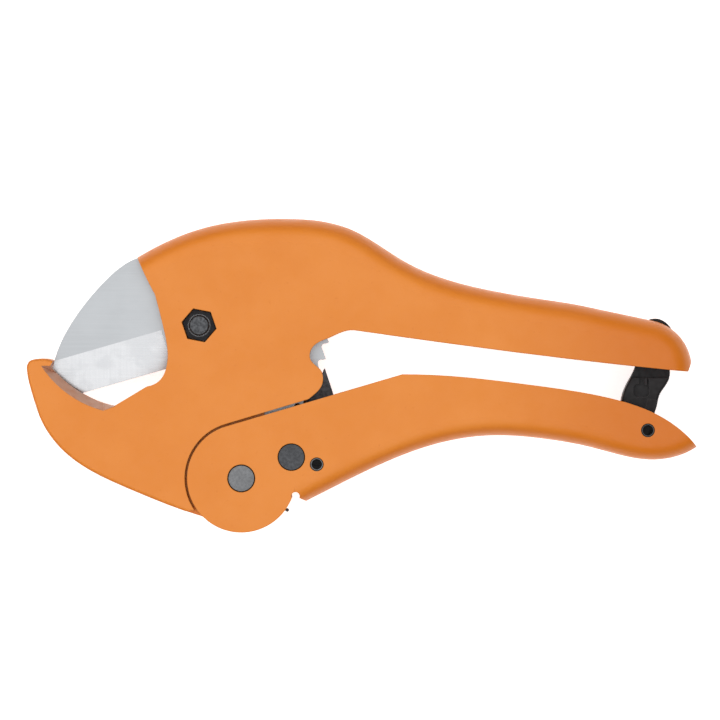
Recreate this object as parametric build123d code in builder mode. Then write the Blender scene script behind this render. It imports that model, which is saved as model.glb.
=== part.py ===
"""Ratcheting pipe cutter, lying on its side: +X along the handles, +Y over the head, +Z up.

Every piece is drawn where it sits with the jaw closed. The two hinge centres, the
thickness of the casting and the tooth ring drive the rest.
"""
import os
from math import cos, radians, sin

from build123d import *

os.makedirs("parts", exist_ok=True)

# ---------------------------------------------------------------- driving dimensions (mm)
thickness = 20.0
middle = thickness / 2

blade_pivot = (-47.5, 14.6)
handle_pivot = (-35.2, -30.0)
drive_pivot = (-20.6, -23.8)
spring_post = (-13.2, -25.9)
latch_pivot = (83.3, -16.0)

blade_thickness = 3.0
blade_slot = 3.4
tooth_pitch = 7.5
tooth_count = 15
tooth_tip = 38.2
tooth_root = 36.3
top_tooth = 45.1

knuckle_radius = 15.8
knuckle_gap = 0.7
cheek = 3.5
tongue_inner = 3.4
tongue_outer = 6.0
channel_wall = 3.0

pin_radius = 4.0
small_pin_radius = 2.0
small_pin_bore = 8.0
running_fit = 0.06
bolt_radius = 3.0
bush_radius = 5.0
nut_across_flats = 8.5
recess_across_flats = 9.0
nut_turn = -11.0

head_rounding = 7.0
grip_rounding = 5.5
pawl_lift = 9.0


# ---------------------------------------------------------------- small helpers
upright = (Align.CENTER, Align.CENTER, Align.MIN)


def polar(centre, radius, angle):
    """Point at a radius and an angle in degrees from a centre."""
    return (centre[0] + radius * cos(radians(angle)), centre[1] + radius * sin(radians(angle)))


def pie(centre, radius, start, end):
    """Pie-shaped face between two angles."""
    with BuildSketch() as slice_of_disc:
        with BuildLine():
            Line(centre, polar(centre, radius, start))
            CenterArc(centre, radius, start, end - start)
            Line(polar(centre, radius, end), centre)
        make_face()
    return slice_of_disc.sketch


def keep(piece, name):
    """Label a finished piece and write it to its own file."""
    piece.part.label = name
    export_step(piece.part, f"parts/{name}.step")


def slab(low, high):
    """Sketch plane at a height, with the distance up to the next one."""
    return Plane.XY.offset(low), high - low


def rod(centre, radius, low, high):
    """Upright cylinder between two heights."""
    plane, height = slab(low, high)
    with BuildPart() as bar:
        with BuildSketch(plane):
            with Locations(centre):
                Circle(radius)
        extrude(amount=height)
    return bar.part


def coil(centre, radius, wire, low, turns):
    """Close-wound spring coil of round wire, standing on a height."""
    pitch = wire * 1.05
    with BuildPart() as winding:
        with BuildLine():
            turn = Helix(pitch=pitch, height=pitch * turns, radius=radius,
                         center=(centre[0], centre[1], low + wire / 2))
        with BuildSketch(Plane(turn @ 0, z_dir=turn % 0)):
            Circle(wire / 2)
        sweep(is_frenet=True)
    return winding.part


def wire_leg(start, end, height, wire):
    """Straight piece of spring wire between two points at one height."""
    run = Vector(end[0] - start[0], end[1] - start[1], 0)
    with BuildPart() as leg:
        with BuildSketch(Plane((start[0], start[1], height), z_dir=run)):
            Circle(wire / 2)
        extrude(amount=run.length)
    return leg.part


# ---------------------------------------------------------------- main casting
head_front = (-65.7, 34.5)
head_top = (-23.7, knuckle_radius - handle_pivot[1])
handle_shoulder = (85.0, 16.0)
handle_end = (96.3, 4.0)
handle_corner = (95.2, 1.1)
handle_root = (-2.3, 13.2)
seam_right = (-15.6, -6.9)
jaw_heel = (-51.5, -39.6)
nose_left = (-97.8, 2.0)
nose_right = (-90.0, 4.2)
seat_start = (-90.9, 2.6)
seat_end = (-72.4, -9.0)
throat_start = (-62.7, -3.2)
web_end = 83.9
ledge = 1.4
end_wall = 92.8
latch_slot = 6.0
knuckle_clear = knuckle_radius + knuckle_gap
seam_left = polar(handle_pivot, knuckle_clear, 105)
heel_corner = polar(handle_pivot, knuckle_clear, 214)

with BuildPart() as frame_casting:
    with BuildSketch():
        with BuildLine():
            crown = Spline(head_front, (-46.0, 43.2), head_top, (-3.0, 42.6), (11.1, 34.1), (28.7, 26.9),
                           (57.9, 21.5), handle_shoulder, tangents=((1, 0.6), (1, -0.21)))
            TangentArc(handle_shoulder, handle_end, tangent=crown % 1)
            Line(handle_end, handle_corner)
            Spline(handle_corner, (66.7, 4.1), (22.8, 9.7), handle_root)
            Spline(handle_root, (-9.6, 11.0), (-14.7, 7.8), (-15.1, 4.8), (-11.9, 1.2), (-11.5, -2.1), seam_right,
                   tangents=((-1, 0.08), (-1, -0.8)))
            Line(seam_right, seam_left)
            CenterArc(handle_pivot, knuckle_clear, 105, 214 - 105)
            Line(heel_corner, jaw_heel)
            Spline(jaw_heel, (-68.4, -32.9), (-85.4, -23.5), (-93.9, -12.3), (-96.3, -5.0), nose_left,
                   tangents=((-1, 0.35), (-0.1, 1)))
            Spline(nose_left, (-94.2, 4.9), nose_right, tangents=((0, 1), (1, -0.6)))
            Line(nose_right, seat_start)
            ThreePointArc(seat_start, (-82.6, -4.8), seat_end)
            Line(seat_end, throat_start)
            Spline(throat_start, (-57.0, 2.5), (-57.9, 14.0), (-60.2, 23.0), head_front,
                   tangents=((1, 0.15), (-0.45, 1)))
        make_face()
    extrude(amount=thickness)

    # Big roundings along the head and the upper handle.
    rims = frame_casting.faces().filter_by(Axis.Z).edges()
    fillet(rims.filter_by(lambda rim: rim.center().Y > 25), radius=head_rounding)

    # Small rounding under the jaw.
    rims = frame_casting.faces().filter_by(Axis.Z).edges()
    fillet(rims.filter_by(lambda rim: rim.center().Y < -15 and rim.center().X < -56), radius=1.0)

    # Tongue that carries the handle pivot, thinner than the knuckle of the lower handle.
    plane, height = slab(middle - tongue_outer, middle + tongue_outer)
    with BuildSketch(plane):
        with Locations(handle_pivot):
            Circle(9.0)
        Polygon((-28.5, -8.5), (-28.5, -22.0), (-30.0, -37.4), (-45.3, -41.6), jaw_heel, (-60.0, -30.0),
                (-52.0, -12.0), align=None)
    extrude(amount=height)

    # Space between the tongue plates, and around the teeth, for the pawls.
    plane, height = slab(middle - tongue_inner, middle + tongue_inner)
    with BuildSketch(plane):
        with Locations(handle_pivot):
            Circle(17.6)
    extrude(amount=height, mode=Mode.SUBTRACT)
    with BuildSketch(plane):
        add(pie(blade_pivot, 47.0, -72, -8))
        with Locations(blade_pivot):
            Circle(34.0, mode=Mode.SUBTRACT)
    extrude(amount=height, mode=Mode.SUBTRACT)

    # Lip that closes the seam from behind, between the pawl space and the far cheek.
    plane, height = slab(middle - tongue_outer, middle - tongue_inner)
    with BuildSketch(plane):
        Polygon((-15.3, -6.0), (-15.3, -8.6), (-30.0, -13.0), (-30.0, -10.0), align=None)
    extrude(amount=height)

    # Blade slot: teeth and heel, back of the blade, then the open swing of the cutting part.
    plane, height = slab(middle - blade_slot / 2, middle + blade_slot / 2)
    with BuildSketch(plane):
        add(pie(blade_pivot, tooth_tip + 0.7, -146, 49))
        with Locations(blade_pivot):
            Circle(28.3)
        add(pie(blade_pivot, 46.4, 75, 217))
    extrude(amount=height, mode=Mode.SUBTRACT)

    # Seat for the pipe: both sides slope up to a ridge beside the slot.
    for face_height, into in ((thickness, -1), (0, 1)):
        with BuildSketch(Plane.XY.offset(face_height)):
            with BuildLine():
                ThreePointArc((-93.5, 2.8), (-86.1, -5.1), (-75.4, -10.3))
                Polyline((-75.4, -10.3), (-72.0, -9.0), (-71.0, 2.8), (-93.5, 2.8))
            make_face()
        extrude(amount=into * 7.0, taper=19, mode=Mode.SUBTRACT)

    # Channel under the upper handle, closed by a wall at its end.
    plane, height = slab(channel_wall, thickness - channel_wall)
    with BuildSketch(plane):
        with BuildLine():
            Spline((9.0, 30.0), (20.0, 25.4), (34.5, 22.0), (57.9, 18.1), (web_end, 12.4))
            Polyline((web_end, 12.4), (end_wall, 9.0), (end_wall, -3.0), (6.0, 8.0), (9.0, 30.0))
        make_face()
    extrude(amount=height, mode=Mode.SUBTRACT)

    # Slot through the web and the end wall, where the hook of the latch swings out.
    plane, height = slab(middle - latch_slot / 2, middle + latch_slot / 2)
    with BuildSketch(plane):
        Polygon((web_end, -3.0), (web_end, 15.0), (web_end - ledge, 15.0), (web_end - ledge, 22.0),
                (101.0, 22.0), (101.0, -3.0), align=None)
    extrude(amount=height, mode=Mode.SUBTRACT)

    # Blade pivot: bolt hole, bush seat with the spring pocket, nut recess and head recess.
    with Locations((*blade_pivot, 0)):
        Cylinder(bolt_radius, thickness, align=upright, mode=Mode.SUBTRACT)
        Cylinder(5.6, 3.4, align=upright, mode=Mode.SUBTRACT)
    with Locations((*blade_pivot, 4.6)):
        Cylinder(bush_radius, 10.0, align=upright, mode=Mode.SUBTRACT)
        Cylinder(9.0, 4.0, align=upright, mode=Mode.SUBTRACT)
    with BuildSketch(Plane.XY.offset(thickness)):
        with Locations(blade_pivot):
            RegularPolygon(recess_across_flats / 2, 6, major_radius=False, rotation=nut_turn)
    extrude(amount=-4.8, mode=Mode.SUBTRACT)

    # Handle pivot pin, pressed through both tongue plates.
    with Locations((*handle_pivot, 0)):
        Cylinder(pin_radius, thickness, align=upright, mode=Mode.SUBTRACT)

keep(frame_casting, "frame_casting")

# ---------------------------------------------------------------- blade
bevel_width = 11.3
edge_tip = (-88.2, -7.0)
heel_radius = 15.8
back_radius = 25.2
blade_low = middle - blade_thickness / 2

with BuildPart() as blade:
    with BuildSketch(Plane.XY.offset(blade_low)):
        with BuildLine():
            back = Spline(polar(blade_pivot, back_radius, 126), (-65.8, 34.3), (-74.9, 27.9), (-82.8, 18.6),
                          (-88.3, 9.2), (-90.8, 0.5))
            Line(back @ 1, edge_tip)
            edge = Line(edge_tip, polar(blade_pivot, heel_radius, 233))
            CenterArc(blade_pivot, heel_radius, 233, 293 - 233)
            Line(polar(blade_pivot, heel_radius, 293), polar(blade_pivot, tooth_root, 296.3))
            below = polar(blade_pivot, tooth_root, 296.3)
            for tooth in reversed(range(tooth_count)):
                tip = top_tooth - tooth * tooth_pitch
                foot = polar(blade_pivot, tooth_root, tip - 2.9)
                shoulder = polar(blade_pivot, tooth_root + 1.0, tip - 0.8)
                point = polar(blade_pivot, tooth_tip, tip)
                Line(below, foot)
                ThreePointArc(foot, polar(blade_pivot, tooth_root + 0.15, tip - 1.3), shoulder)
                Line(shoulder, point)
                below = point
            Line(below, polar(blade_pivot, back_radius, 49))
            CenterArc(blade_pivot, back_radius, 49, 126 - 49)
        make_face()
    extrude(amount=blade_thickness)

    # Two long flat bevels that meet at the cutting edge.
    for side in (-1, 1):
        origin = Vector((edge @ 0.5).X, (edge @ 0.5).Y, middle)
        cross = Plane(origin=origin, x_dir=(0, 0, side), z_dir=(edge % 0.5) * -side)
        with BuildSketch(cross):
            Polygon((0.08, -4.0), (0.08, 0.0), (blade_thickness / 2, bevel_width), (4.0, bevel_width + 3.0),
                    (4.0, -4.0), align=None)
        extrude(amount=edge.length / 2 + 1.5, both=True, mode=Mode.SUBTRACT)

    with Locations((*blade_pivot, 0)):
        Cylinder(bush_radius + running_fit, thickness, align=upright,
                 mode=Mode.SUBTRACT)

keep(blade, "blade")

# ---------------------------------------------------------------- blade pivot hardware
with BuildPart() as blade_bush:
    add(rod(blade_pivot, bush_radius, 4.6, 14.6))
    with Locations((*blade_pivot, 0)):
        Cylinder(bolt_radius, thickness, align=upright, mode=Mode.SUBTRACT)
keep(blade_bush, "blade_bush")

with BuildPart() as blade_bolt:
    add(rod(blade_pivot, bolt_radius, 0.2, 19.2))
    add(rod(blade_pivot, 5.5, 0.2, 2.7))
    fillet(blade_bolt.faces().sort_by(Axis.Z)[-1].edges(), radius=0.7)
    fillet(blade_bolt.faces().sort_by(Axis.Z)[0].edges(), radius=0.8)
    with BuildSketch():
        with Locations(blade_pivot):
            RegularPolygon(2.5, 6, major_radius=False)
    extrude(amount=2.0, mode=Mode.SUBTRACT)
keep(blade_bolt, "blade_bolt")

with BuildPart() as bolt_washer:
    add(rod(blade_pivot, 5.3, 2.7, 3.4))
    with Locations((*blade_pivot, 0)):
        Cylinder(bolt_radius, thickness, align=upright, mode=Mode.SUBTRACT)
keep(bolt_washer, "bolt_washer")

with BuildPart() as blade_nut:
    plane, height = slab(15.2, 18.2)
    with BuildSketch(plane):
        with Locations(blade_pivot):
            RegularPolygon(nut_across_flats / 2, 6, major_radius=False, rotation=nut_turn)
    extrude(amount=height)
    with Locations((*blade_pivot, 0)):
        Cylinder(bolt_radius, thickness, align=upright, mode=Mode.SUBTRACT)
    chamfer(blade_nut.faces().sort_by(Axis.Z)[-1].edges().filter_by(GeomType.CIRCLE), length=0.35)
keep(blade_nut, "blade_nut")

with BuildPart() as blade_spring:
    add(coil(blade_pivot, 7.2, 0.8, 4.9, 3))
keep(blade_spring, "blade_spring")

# ---------------------------------------------------------------- handle pivot hardware
with BuildPart() as handle_pivot_pin:
    add(rod(handle_pivot, pin_radius, 0.0, thickness - 0.1))
    chamfer(handle_pivot_pin.edges().filter_by(GeomType.CIRCLE), length=0.3)
keep(handle_pivot_pin, "handle_pivot_pin")

with BuildPart() as handle_spring:
    add(coil(handle_pivot, 5.2, 0.8, 11.6, 1))
    add(wire_leg((-35.2, -35.2), polar(handle_pivot, 16.3, -35), 12.0, 0.8))
    add(rod(polar(handle_pivot, 16.3, -35), 0.5, 11.6, 14.6))
keep(handle_spring, "handle_spring")

# ---------------------------------------------------------------- holding pawl
pawl_layer = (8.6, 11.4)
engaged_toe = polar(blade_pivot, 36.95, -61.9)
engaged_back = polar(blade_pivot, 38.5, -65.5)
lift = Location((*handle_pivot, 0), (0, 0, -pawl_lift)) * Location((-handle_pivot[0], -handle_pivot[1], 0))

with BuildSketch() as holding_outline:
    with Locations(handle_pivot):
        Circle(6.0)
    with BuildLine():
        Polyline(engaged_toe, polar(blade_pivot, 39.3, -60.2), polar(handle_pivot, 6.0, 22), handle_pivot,
                 polar(handle_pivot, 6.0, 140), engaged_back, engaged_toe)
    make_face()
    with Locations(handle_pivot):
        Circle(pin_radius + running_fit, mode=Mode.SUBTRACT)

with BuildPart() as holding_pawl:
    plane, height = slab(*pawl_layer)
    with BuildSketch(plane):
        add(holding_outline.sketch.moved(lift))
    extrude(amount=height)
keep(holding_pawl, "holding_pawl")

with BuildPart() as holding_pawl_spring:
    add(coil(handle_pivot, 5.2, 0.8, 6.8, 1))
keep(holding_pawl_spring, "holding_pawl_spring")

with BuildPart() as holding_pawl_spacers:
    below_pawl = (middle - tongue_inner, pawl_layer[0] - 0.1)
    above_pawl = (pawl_layer[1] + 0.1, middle + tongue_inner)
    for low, high in (below_pawl, above_pawl):
        add(rod(handle_pivot, 4.7, low, high))
        with Locations((*handle_pivot, low)):
            Cylinder(pin_radius, high - low, align=upright, mode=Mode.SUBTRACT)
keep(holding_pawl_spacers, "holding_pawl_spacers")

# ---------------------------------------------------------------- lower handle
seam_touch = polar(handle_pivot, knuckle_radius, 106.3)
grip_corner = (11.8, 0.3)
grip_tip = (97.8, -20.9)
notch_right = (-16.3, -36.7)
notch_top = (-19.4, -35.2)
notch_radius = 1.2

with BuildPart() as lower_handle:
    with BuildSketch():
        with BuildLine():
            Line(seam_touch, grip_corner)
            Spline(grip_corner, (28.7, -0.4), (46.4, -2.4), (69.6, -6.0), (85.4, -11.1), grip_tip)
            Spline(grip_tip, (92.0, -23.6), (86.0, -24.6), (66.6, -20.9), (53.1, -18.5), (39.7, -17.5),
                   (24.9, -19.2), (-0.6, -28.8), notch_right)
            Polyline(notch_right, notch_top, handle_pivot, seam_touch)
        make_face()
    extrude(amount=thickness)
    rims = lower_handle.faces().filter_by(Axis.Z).edges()
    fillet(rims.filter_by(lambda rim: rim.length > 100 and (rim @ 0.5).Y < -12), radius=grip_rounding)
    add(rod(handle_pivot, knuckle_radius, 0, thickness))

    with Locations((*notch_top, 0)):
        Cylinder(notch_radius, thickness, align=upright, mode=Mode.SUBTRACT)

    # Channel: open knuckle cheeks on the left, then a trough with its web underneath.
    plane, height = slab(cheek, thickness - cheek)
    with BuildSketch(plane):
        with BuildLine():
            Spline((-19.6, -34.2), (-14.0, -31.8), (0.5, -24.9), (25.5, -15.9), (40.0, -14.2), (53.4, -15.0),
                   (67.4, -17.3), (80.0, -20.8), (90.0, -21.2))
            Polyline((90.0, -21.2), (94.0, -10.0), (94.0, 6.0), (-60.0, 6.0), (-60.0, -50.0), (-19.6, -50.0),
                     (-19.6, -34.2))
        make_face()
    extrude(amount=height, mode=Mode.SUBTRACT)
    for centre, radius in ((handle_pivot, pin_radius + running_fit), (drive_pivot, pin_radius),
                           (spring_post, small_pin_radius), (latch_pivot, small_pin_radius)):
        with Locations((*centre, 0)):
            Cylinder(radius, thickness, align=upright, mode=Mode.SUBTRACT)
keep(lower_handle, "lower_handle")

# ---------------------------------------------------------------- drive pawl
drive_layer = (7.5, 12.5)
pawl_reach = tooth_tip + 0.3
pawl_hub = 5.2

with BuildPart() as drive_pawl:
    plane, height = slab(*drive_layer)
    with BuildSketch(plane):
        with Locations(drive_pivot):
            Circle(pawl_hub)
        with BuildLine():
            Line(polar(blade_pivot, pawl_reach, -19.3), polar(blade_pivot, pawl_reach + 0.2, -18.9))
            Line(polar(blade_pivot, pawl_reach + 0.2, -18.9), (-8.6, -4.8))
            Spline((-8.6, -4.8), (-8.1, -14.0), polar(drive_pivot, pawl_hub, 0))
            Line(polar(drive_pivot, pawl_hub, 0), polar(drive_pivot, pawl_hub, 150))
            Line(polar(drive_pivot, pawl_hub, 150), polar(blade_pivot, pawl_reach, -44))
            CenterArc(blade_pivot, pawl_reach, -44, 44 - 19.3)
        make_face()
        with Locations(drive_pivot):
            Circle(pin_radius + running_fit, mode=Mode.SUBTRACT)
    extrude(amount=height)
keep(drive_pawl, "drive_pawl")

with BuildPart() as drive_pawl_pin:
    add(rod(drive_pivot, pin_radius, 0.1, thickness - 0.1))
    chamfer(drive_pawl_pin.edges().filter_by(GeomType.CIRCLE), length=0.3)
keep(drive_pawl_pin, "drive_pawl_pin")

with BuildPart() as drive_pawl_spacers:
    for low, high in ((cheek, drive_layer[0] - 0.1), (drive_layer[1] + 0.1, thickness - cheek)):
        add(rod(drive_pivot, 4.6, low, high))
        with Locations((*drive_pivot, low)):
            Cylinder(pin_radius, high - low, align=upright, mode=Mode.SUBTRACT)
keep(drive_pawl_spacers, "drive_pawl_spacers")

with BuildPart() as drive_pawl_spring:
    add(coil(drive_pivot, 5.1, 0.7, 3.9, 3))
    add(wire_leg((-20.6, -28.9), (-9.0, -28.9), 5.7, 0.7))
keep(drive_pawl_spring, "drive_pawl_spring")


# ---------------------------------------------------------------- hollow-ended pins
def hollow_pin(centre, low, high):
    """Small pin drilled deep from both ends."""
    with BuildPart() as pin:
        add(rod(centre, small_pin_radius, low, high))
        for end in (low, high):
            with Locations((*centre, end)):
                Cylinder(small_pin_radius - 0.45, 2 * small_pin_bore, mode=Mode.SUBTRACT)
    return pin


spring_pin = hollow_pin(spring_post, 0.2, thickness - 0.2)
keep(spring_pin, "spring_pin")
latch_pin = hollow_pin(latch_pivot, 0.2, thickness - 0.2)
keep(latch_pin, "latch_pin")

# ---------------------------------------------------------------- latch
latch_layer = (5.0, 15.0)
hook_thickness = 5.4

with BuildPart() as latch:
    plane, height = slab(*latch_layer)
    with BuildSketch(plane):
        with Locations(latch_pivot):
            Circle(4.6)
        with BuildLine():
            Polyline((79.2, -18.0), (75.8, -8.0))
            Spline((75.8, -8.0), (76.6, -4.5), (79.9, 2.3), (81.5, 7.0), (85.8, 10.5))
            Polyline((85.8, 10.5), (85.8, 15.0), (84.2, 15.6), (84.2, 16.4))
            Spline((84.2, 16.4), (87.9, 16.1), (90.9, 12.9), (92.0, 8.0), (90.0, 1.5))
            Spline((90.0, 1.5), (88.6, -3.1), (86.9, -5.8), (86.3, -8.2), (85.2, -11.4))
            Polyline((85.2, -11.4), (85.2, -18.0), (79.2, -18.0))
        make_face()
    extrude(amount=height)
    fillet(latch.faces().filter_by(Axis.Z).edges().filter_by(lambda rim: rim.length > 5), radius=0.8)

    # Thinner hook that passes through the slot of the upper handle.
    for side in (-1, 1):
        with BuildSketch(Plane.XY.offset(middle + side * hook_thickness / 2)):
            Polygon((70.0, -0.8), (70.0, 20.0), (96.0, 20.0), (96.0, -0.8), align=None)
        extrude(amount=side * 4.0, mode=Mode.SUBTRACT)

    # Sunk pocket with a groove above it, and a raised pad beside the lower handle, on each side.
    for side in (-1, 1):
        with BuildSketch(Plane.XY.offset(middle + side * 5.0)):
            with Locations((81.6, -4.4)):
                RectangleRounded(4.6, 3.8, 1.2)
            with Locations((82.3, -1.9)):
                RectangleRounded(2.8, 2.6, 0.8)
        extrude(amount=-side * 1.3, mode=Mode.SUBTRACT)
        with BuildSketch(Plane.XY.offset(middle + side * 3.5)):
            with Locations((82.9, -1.8)):
                Rectangle(0.7, 2.0)
            with Locations(Location((84.4, -9.0), -14)):
                RectangleRounded(3.0, 4.2, 0.7)
        extrude(amount=side * 2.0)
    with Locations((*latch_pivot, 0)):
        Cylinder(small_pin_radius + running_fit, thickness, align=upright,
                 mode=Mode.SUBTRACT)
keep(latch, "latch")
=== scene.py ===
"""Looks of the ratcheting pipe cutter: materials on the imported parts, floor, light and camera."""

from math import radians

import bpy
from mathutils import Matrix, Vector

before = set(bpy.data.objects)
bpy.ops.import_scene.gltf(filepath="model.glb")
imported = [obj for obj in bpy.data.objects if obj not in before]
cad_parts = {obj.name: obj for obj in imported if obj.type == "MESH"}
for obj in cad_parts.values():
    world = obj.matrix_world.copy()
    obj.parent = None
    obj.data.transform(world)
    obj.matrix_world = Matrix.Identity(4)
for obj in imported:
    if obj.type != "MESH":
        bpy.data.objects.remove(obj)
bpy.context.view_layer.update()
MM = 0.001

# ---------------------------------------------------------------- named places and sizes (metres)
BLADE_PIVOT = (-47.5 * MM, 14.6 * MM)
HANDLE_PIVOT = (-35.2 * MM, -30.0 * MM)
DRIVE_PIVOT = (-20.6 * MM, -23.8 * MM)
LATCH_PIVOT = (83.3 * MM, -16.0 * MM)
SPRING_POST = (-13.2 * MM, -25.9 * MM)
THREAD_RING = (3.02 * MM, 3.25 * MM)
BORE_RING = (1.55 * MM, 1.65 * MM)
TURNING_MARKS = 0.35 * MM
# Span along X over which painted shade deepens the paint toward the handle end.
HANDLE_SHADE_START = 30 * MM
HANDLE_SHADE_END = 92 * MM
SEAT_LEFT = -95.6 * MM
SEAT_RIGHT = -71.0 * MM
SEAT_BOTTOM = -11.6 * MM
SEAT_TOP = 4.2 * MM
EDGE_ANGLE = 15.9  # degrees, direction of the cutting edge from +X

CAMERA_HEIGHT = 1.90
FACE_HEIGHT = 12.5 * MM
VIEW_CENTRE = (-0.6 * MM, 4.5 * MM)
VIEW_WIDTH = 210.6 * MM
SENSOR = 36.0  # millimetres, as the camera counts it
FLOOR_SIZE = 6.0
FLOOR_DROP = 0.2 * MM

# ---------------------------------------------------------------- colours (linear)
ORANGE = (0.775, 0.236, 0.024)
ORANGE_DEEP = (0.63, 0.150, 0.003)
ORANGE_PALE = (0.800, 0.254, 0.032)
# Deeper orange used as painted shade on the rounded bands.
ORANGE_PAINTED_SHADE = (0.610, 0.162, 0.009)
# Grey-pink colour for the painted reflection on the jaw's pipe seat.
SEAT_REFLECTION = (0.68, 0.37, 0.24)


# ---------------------------------------------------------------- material building blocks
class Look:
    """One node material being put together around a Principled shader."""

    def __init__(self, name, metallic=0.0):
        self.material = bpy.data.materials.new(name)
        self.material.use_nodes = True
        self.nodes = self.material.node_tree.nodes
        self.links = self.material.node_tree.links
        self.shader = self.nodes["Principled BSDF"]
        self.shader.inputs["Metallic"].default_value = metallic
        self.place = self.nodes.new("ShaderNodeTexCoord").outputs["Object"]

    def join(self, source, target):
        self.links.new(source, target)

    def set(self, name, value):
        self.shader.inputs[name].default_value = value

    def math(self, operation, first, second=0.0):
        """One sum on numbers or sockets; the second is left out where only one is needed."""
        node = self.nodes.new("ShaderNodeMath")
        node.operation = operation
        for socket, value in zip(node.inputs, (first, second)):
            if isinstance(value, (int, float)):
                socket.default_value = value
            else:
                self.join(value, socket)
        return node.outputs[0]

    def noise(self, size, detail=3.0, stretch=(1, 1, 1), turn=0.0):
        """Grey noise with features of a real size in metres, optionally stretched along X, Y or Z."""
        mapping = self.nodes.new("ShaderNodeMapping")
        mapping.inputs["Rotation"].default_value = (0, 0, radians(turn))
        mapping.inputs["Scale"].default_value = [1 / (size * s) for s in stretch]
        self.join(self.place, mapping.inputs["Vector"])
        texture = self.nodes.new("ShaderNodeTexNoise")
        texture.inputs["Scale"].default_value = 1.0
        texture.inputs["Detail"].default_value = detail
        texture.inputs["Roughness"].default_value = 0.55
        self.join(mapping.outputs[0], texture.inputs["Vector"])
        return texture.outputs["Fac"]

    def ramp(self, value, low, high, to_low=0.0, to_high=1.0):
        """Maps a value range smoothly onto another, clamped."""
        node = self.nodes.new("ShaderNodeMapRange")
        node.interpolation_type = "SMOOTHSTEP"
        for name, number in (("From Min", low), ("From Max", high), ("To Min", to_low), ("To Max", to_high)):
            node.inputs[name].default_value = number
        self.join(value, node.inputs["Value"])
        return node.outputs[0]

    def mix(self, amount, first, second):
        """Mixes two colours, each a tuple or a socket."""
        node = self.nodes.new("ShaderNodeMix")
        node.data_type = "RGBA"
        if isinstance(amount, (int, float)):
            node.inputs[0].default_value = amount
        else:
            self.join(amount, node.inputs[0])
        colour_sockets = (6, 7)
        for index, colour in zip(colour_sockets, (first, second)):
            if isinstance(colour, tuple):
                node.inputs[index].default_value = (*colour, 1.0)
            else:
                self.join(colour, node.inputs[index])
        return node.outputs[2]  # the colour result; the ones before it are for numbers and vectors

    def part_of(self, output, axis):
        """One component of the texture position (Object) or of the face direction (Normal)."""
        split = self.nodes.new("ShaderNodeSeparateXYZ")
        self.join(self.nodes["Texture Coordinate"].outputs[output], split.inputs[0])
        return split.outputs[axis]

    def radius_from(self, centre):
        """Distance in metres from an upright axis."""
        flat = self.nodes.new("ShaderNodeVectorMath")
        flat.operation = "MULTIPLY"
        flat.inputs[1].default_value = (1, 1, 0)
        self.join(self.place, flat.inputs[0])
        away = self.nodes.new("ShaderNodeVectorMath")
        away.operation = "DISTANCE"
        away.inputs[1].default_value = (*centre, 0)
        self.join(flat.outputs[0], away.inputs[0])
        return away.outputs["Value"]

    def edge(self, radius):
        """Mask along convex edges, used for lighter edges of wear and painted highlight: how far a rounded
        normal turns from the true one.
        """
        bevel = self.nodes.new("ShaderNodeBevel")
        bevel.samples = 6
        bevel.inputs["Radius"].default_value = radius
        true = self.nodes.new("ShaderNodeNewGeometry").outputs["Normal"]
        dot = self.nodes.new("ShaderNodeVectorMath")
        dot.operation = "DOT_PRODUCT"
        self.join(bevel.outputs[0], dot.inputs[0])
        self.join(true, dot.inputs[1])
        return self.ramp(dot.outputs["Value"], 0.98, 0.80)

    def relief(self, height, depth, rounding=0.0):
        """Bump of a real depth in metres, over edges rounded by a real radius."""
        bump = self.nodes.new("ShaderNodeBump")
        bump.inputs["Strength"].default_value = 1.0
        bump.inputs["Distance"].default_value = depth
        self.join(height, bump.inputs["Height"])
        if rounding:
            bevel = self.nodes.new("ShaderNodeBevel")
            bevel.samples = 6
            bevel.inputs["Radius"].default_value = rounding
            self.join(bevel.outputs[0], bump.inputs["Normal"])
        self.join(bump.outputs[0], self.shader.inputs["Normal"])

    def colour(self, socket):
        self.join(socket, self.shader.inputs["Base Color"])

    def gloss(self, socket):
        self.join(socket, self.shader.inputs["Roughness"])


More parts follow.
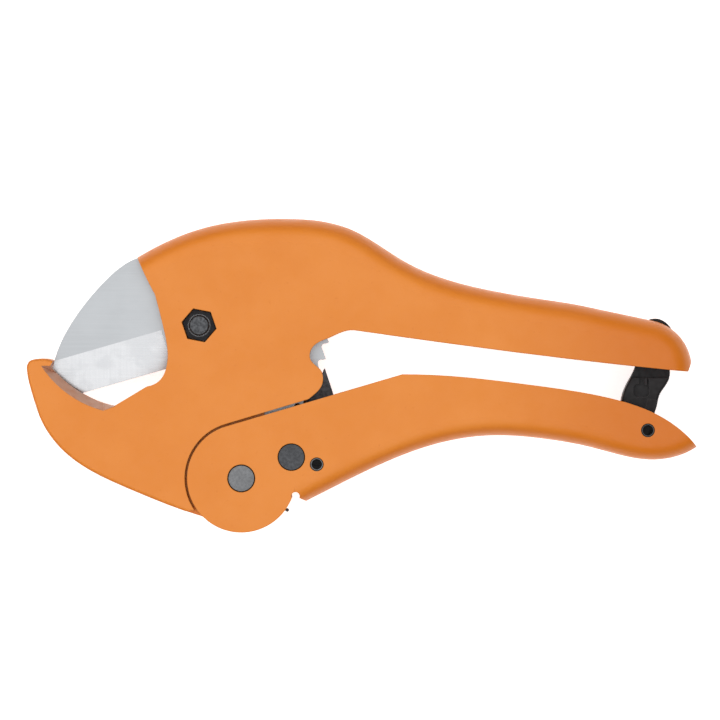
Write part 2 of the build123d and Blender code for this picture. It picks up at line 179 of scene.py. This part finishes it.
# ---------------------------------------------------------------- materials
def orange_paint():
    """Satin paint on a die-cast surface: soft orange peel, faint mottling, worn edges with a painted
    highlight, painted shade on the roundings and toward the handle end, and a painted reflection on the pipe
    seat.
    """
    look = Look("orange_paint")
    along = look.part_of("Object", "X")
    across = look.part_of("Object", "Y")
    steep = look.math("ABSOLUTE", look.part_of("Normal", "Z"))
    cloud = look.noise(18 * MM, detail=4)
    fleck = look.noise(1.1 * MM, detail=5)
    shade = look.mix(look.ramp(cloud, 0.35, 0.68), ORANGE, ORANGE_PALE)
    shade = look.mix(look.ramp(fleck, 0.62, 0.78, 0.0, 0.35), shade, ORANGE_DEEP)
    # Painted shade: the paint turns deeper orange toward the handle end, where less light reflects.
    shade = look.mix(look.ramp(along, HANDLE_SHADE_START, HANDLE_SHADE_END, 0.0, 0.85), shade, ORANGE_DEEP)
    # Painted shade: rounded bands that turn away from the top get a deeper orange.
    shade = look.mix(look.ramp(steep, 0.99, 0.70, 0.0, 0.9), shade, ORANGE_PAINTED_SHADE)
    # Lighter convex edges, broken up by noise: worn paint with a painted highlight.
    edge = look.edge(0.5 * MM)
    broken = look.math("MULTIPLY", edge, look.ramp(look.noise(2.5 * MM), 0.40, 0.62))
    shade = look.mix(look.math("MULTIPLY", broken, 0.55), shade, (0.86, 0.42, 0.16))
    # Painted reflection: a grey-pink tint on the sloped pipe seat of the jaw, kept to the seat's area and
    # broken by noise.
    seat = look.ramp(along, SEAT_RIGHT, SEAT_RIGHT - 0.6 * MM)
    seat_limits = (
        look.ramp(along, SEAT_LEFT, SEAT_LEFT + 0.8 * MM),
        look.ramp(across, SEAT_BOTTOM, SEAT_BOTTOM + 3.1 * MM),
        look.ramp(across, SEAT_TOP, SEAT_TOP - 1.4 * MM),
        look.ramp(steep, 0.75, 0.6),
        look.ramp(look.noise(3 * MM, detail=5), 0.25, 0.6, 0.6, 1.0),
    )
    for limit in seat_limits:
        seat = look.math("MULTIPLY", seat, limit)
    shade = look.mix(seat, shade, SEAT_REFLECTION)
    look.colour(shade)
    look.set("Specular IOR Level", 0.32)
    look.gloss(look.ramp(look.noise(4 * MM, detail=5), 0.3, 0.7, 0.30, 0.44))
    peel = look.math("ADD", look.noise(0.9 * MM, detail=2), look.math("MULTIPLY", look.noise(3.5 * MM), 0.8))
    look.relief(peel, 0.035 * MM, rounding=0.45 * MM)
    return look.material


def blade_steel():
    """Ground blade: fine lines along it, brighter bevels with marks across the edge."""
    look = Look("blade_steel", metallic=1.0)
    lines = look.noise(0.35 * MM, detail=4, stretch=(60, 1, 60), turn=EDGE_ANGLE)
    cross = look.noise(0.5 * MM, detail=4, stretch=(1, 30, 30), turn=EDGE_ANGLE)
    cloud = look.noise(14 * MM, detail=3)
    tilt = look.math("ABSOLUTE", look.part_of("Normal", "Z"))
    bevel = look.ramp(tilt, 0.9985, 0.996)
    flat = look.mix(look.ramp(lines, 0.25, 0.75), (0.318, 0.329, 0.341), (0.348, 0.361, 0.374))
    flat = look.mix(look.ramp(cloud, 0.35, 0.7, 0.0, 0.35), flat, (0.385, 0.398, 0.412))
    ground = look.mix(look.ramp(cross, 0.2, 0.8), (0.455, 0.461, 0.473), (0.495, 0.501, 0.513))
    ground = look.mix(look.ramp(look.noise(7 * MM), 0.42, 0.58, 0.0, 0.7), ground, (0.420, 0.427, 0.440))
    look.colour(look.mix(bevel, flat, ground))
    look.gloss(look.math("ADD", look.ramp(lines, 0.2, 0.8, 0.27, 0.36), look.math("MULTIPLY", bevel, -0.04)))
    marks = look.math("MULTIPLY", look.math("MULTIPLY", cross, bevel), 0.5)
    look.relief(look.math("ADD", lines, marks), 0.0015 * MM, rounding=0.1 * MM)
    return look.material


def turned_steel(name, dark, pale, centre):
    """Pin end faced on a lathe: concentric marks, a painted highlight along the rim."""
    look = Look(name, metallic=1.0)
    away = look.radius_from(centre)
    wave = look.math("SINE", look.math("MULTIPLY", away, 6.283 / TURNING_MARKS))
    grain = look.noise(0.8 * MM, detail=4)
    marks = look.math("ADD", look.math("MULTIPLY", wave, 0.18), grain)
    shade = look.mix(look.ramp(marks, 0.25, 0.75), dark, pale)
    # Painted highlight: the rim is lighter than the face.
    rim = look.math("MULTIPLY", look.edge(0.25 * MM), 0.5)
    shade = look.mix(rim, shade, tuple(min(1, 1.5 * part) for part in pale))
    look.colour(shade)
    look.gloss(look.ramp(look.noise(3 * MM), 0.3, 0.7, 0.30, 0.44))
    look.relief(marks, 0.01 * MM, rounding=0.2 * MM)
    return look.material


def black_steel(name, dark, pale, centre, ring, shine):
    """Black oxide, bright on one thin ring around a bore or thread, rubbed wear with a painted highlight on
    its chamfer; shine is how bright, 0 to 1.
    """
    look = Look(name, metallic=0.75)
    away = look.radius_from(centre)
    grain = look.noise(0.7 * MM, detail=5)
    shade = look.mix(look.ramp(grain, 0.3, 0.7), dark, pale)
    # Bright ring: rubbed wear and a painted highlight on the chamfer.
    inner, outer = ring
    bright = look.ramp(away, inner - 0.1 * MM, inner)
    bright = look.math("MULTIPLY", bright, look.ramp(away, outer + 0.1 * MM, outer))
    shade = look.mix(look.math("MULTIPLY", bright, shine), shade, (0.50, 0.51, 0.52))
    # Lighter edges: wear and a painted highlight, scaled by shine.
    shade = look.mix(look.math("MULTIPLY", look.edge(0.25 * MM), 0.3 * shine), shade, (0.30, 0.30, 0.31))
    look.colour(shade)
    look.gloss(look.ramp(look.noise(2 * MM), 0.3, 0.7, 0.26, 0.42))
    look.relief(grain, 0.02 * MM, rounding=0.2 * MM)
    return look.material


def pawl_steel():
    """Hardened black pawls; their edges are lighter, with rubbed wear and a painted highlight."""
    look = Look("pawl_steel", metallic=0.7)
    grain = look.noise(0.9 * MM, detail=5)
    shade = look.mix(look.ramp(grain, 0.3, 0.7), (0.025, 0.024, 0.026), (0.06, 0.06, 0.064))
    # Lighter edges: rubbed wear and a painted highlight.
    shade = look.mix(look.math("MULTIPLY", look.edge(0.3 * MM), 0.45), shade, (0.35, 0.35, 0.37))
    look.colour(shade)
    look.gloss(look.ramp(look.noise(3 * MM), 0.3, 0.7, 0.33, 0.5))
    look.relief(grain, 0.02 * MM, rounding=0.25 * MM)
    return look.material


def spring_steel():
    """Oil-tempered wire: brown-grey with drawn lines."""
    look = Look("spring_steel", metallic=1.0)
    grain = look.noise(0.5 * MM, detail=4)
    look.colour(look.mix(look.ramp(grain, 0.3, 0.7), (0.035, 0.033, 0.032), (0.080, 0.077, 0.075)))
    look.gloss(look.ramp(look.noise(1.5 * MM), 0.3, 0.7, 0.28, 0.42))
    look.relief(grain, 0.008 * MM)
    return look.material


def bronze():
    """Turned bronze bush."""
    look = Look("bronze", metallic=1.0)
    rings = look.noise(0.4 * MM, detail=3, stretch=(40, 40, 1))
    look.colour(look.mix(look.ramp(rings, 0.3, 0.7), (0.46, 0.28, 0.11), (0.62, 0.42, 0.20)))
    look.gloss(look.ramp(look.noise(2 * MM), 0.3, 0.7, 0.26, 0.40))
    look.relief(rings, 0.01 * MM)
    return look.material


def black_plastic():
    """Moulded nylon latch: fine spark-eroded texture, softened corners, lighter edges from slight wear and a
    painted highlight.
    """
    look = Look("black_plastic")
    grain = look.noise(0.35 * MM, detail=3)
    cloud = look.noise(6 * MM)
    shade = look.mix(look.ramp(cloud, 0.35, 0.7), (0.006, 0.005, 0.0055), (0.011, 0.009, 0.010))
    # Lighter edges: slight wear and a painted highlight.
    shade = look.mix(look.math("MULTIPLY", look.edge(0.5 * MM), 0.6), shade, (0.075, 0.070, 0.072))
    look.colour(shade)
    look.set("Specular IOR Level", 0.22)
    look.gloss(look.ramp(look.noise(1.2 * MM), 0.3, 0.7, 0.38, 0.55))
    look.relief(grain, 0.03 * MM, rounding=0.4 * MM)
    return look.material


paint = orange_paint()
steel = blade_steel()
bolt = black_steel("bolt_steel", (0.030, 0.031, 0.034), (0.085, 0.088, 0.094), BLADE_PIVOT, THREAD_RING, 0.95)
nut = black_steel("nut_steel", (0.004, 0.004, 0.005), (0.012, 0.011, 0.012), BLADE_PIVOT, THREAD_RING, 0.95)
post_pin = black_steel("post_pin_steel", (0.005, 0.005, 0.005), (0.016, 0.015, 0.015),
                       SPRING_POST, BORE_RING, 0.4)
latch_pin = black_steel("latch_pin_steel", (0.004, 0.004, 0.004), (0.010, 0.010, 0.010),
                        LATCH_PIVOT, BORE_RING, 0.15)
pawls = pawl_steel()
wire = spring_steel()
handle_pin = turned_steel("handle_pin_steel", (0.105, 0.107, 0.111), (0.165, 0.168, 0.173), HANDLE_PIVOT)
drive_pin = turned_steel("drive_pin_steel", (0.040, 0.041, 0.044), (0.072, 0.074, 0.079), DRIVE_PIVOT)

LOOKS = {
    "frame_casting": paint,
    "lower_handle": paint,
    "blade": steel,
    "blade_bush": bronze(),
    "blade_bolt": bolt,
    "bolt_washer": nut,
    "blade_nut": nut,
    "blade_spring": wire,
    "handle_spring": wire,
    "holding_pawl_spring": wire,
    "drive_pawl_spring": wire,
    "handle_pivot_pin": handle_pin,
    "holding_pawl_spacers": handle_pin,
    "drive_pawl_pin": drive_pin,
    "drive_pawl_spacers": drive_pin,
    "drive_pawl": pawls,
    "holding_pawl": pawls,
    "spring_pin": post_pin,
    "latch_pin": latch_pin,
    "latch": black_plastic(),
}
for name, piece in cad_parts.items():
    piece.data.materials.clear()
    piece.data.materials.append(LOOKS[name])


# ---------------------------------------------------------------- floor, light and camera
def pale_floor():
    """Plain pale sheet the tool lies on."""
    bpy.ops.mesh.primitive_plane_add(size=FLOOR_SIZE, location=(0, 0, -FLOOR_DROP))
    floor = bpy.context.object
    floor.name = "floor"
    look = Look("pale_floor")
    look.colour(look.mix(look.ramp(look.noise(0.4), 0.3, 0.7), (0.96, 0.96, 0.96), (0.98, 0.98, 0.98)))
    look.set("Roughness", 0.9)
    look.set("Emission Color", (1.0, 1.0, 1.0, 1.0))
    look.set("Emission Strength", 0.72)
    floor.data.materials.append(look.material)


def soft_light(name, place, width, power):
    """Square soft box pointing at the middle of the tool."""
    lamp = bpy.data.lights.new(name, "AREA")
    lamp.shape = "RECTANGLE"
    lamp.size = width
    lamp.size_y = width
    lamp.energy = power
    holder = bpy.data.objects.new(name, lamp)
    holder.location = place
    holder.rotation_euler = (-Vector(place)).to_track_quat("-Z", "Y").to_euler()
    bpy.context.scene.collection.objects.link(holder)


pale_floor()
soft_light("overhead", (-0.2, 0.1, 2.0), 3.6, 64.0)
soft_light("side", (-1.6, 0.9, 1.0), 1.2, 2.0)

world = bpy.data.worlds.new("studio")
world.use_nodes = True
background = world.node_tree.nodes["Background"]
background.inputs["Color"].default_value = (1.0, 1.0, 1.0, 1.0)
background.inputs["Strength"].default_value = 0.20
bpy.context.scene.world = world
bpy.context.scene.view_settings.view_transform = "Standard"

camera_data = bpy.data.cameras.new("camera")
camera_data.sensor_width = SENSOR
camera_data.lens = SENSOR * (CAMERA_HEIGHT - FACE_HEIGHT) / VIEW_WIDTH
camera = bpy.data.objects.new("camera", camera_data)
camera.location = (*VIEW_CENTRE, CAMERA_HEIGHT)
bpy.context.scene.collection.objects.link(camera)
bpy.context.scene.camera = camera
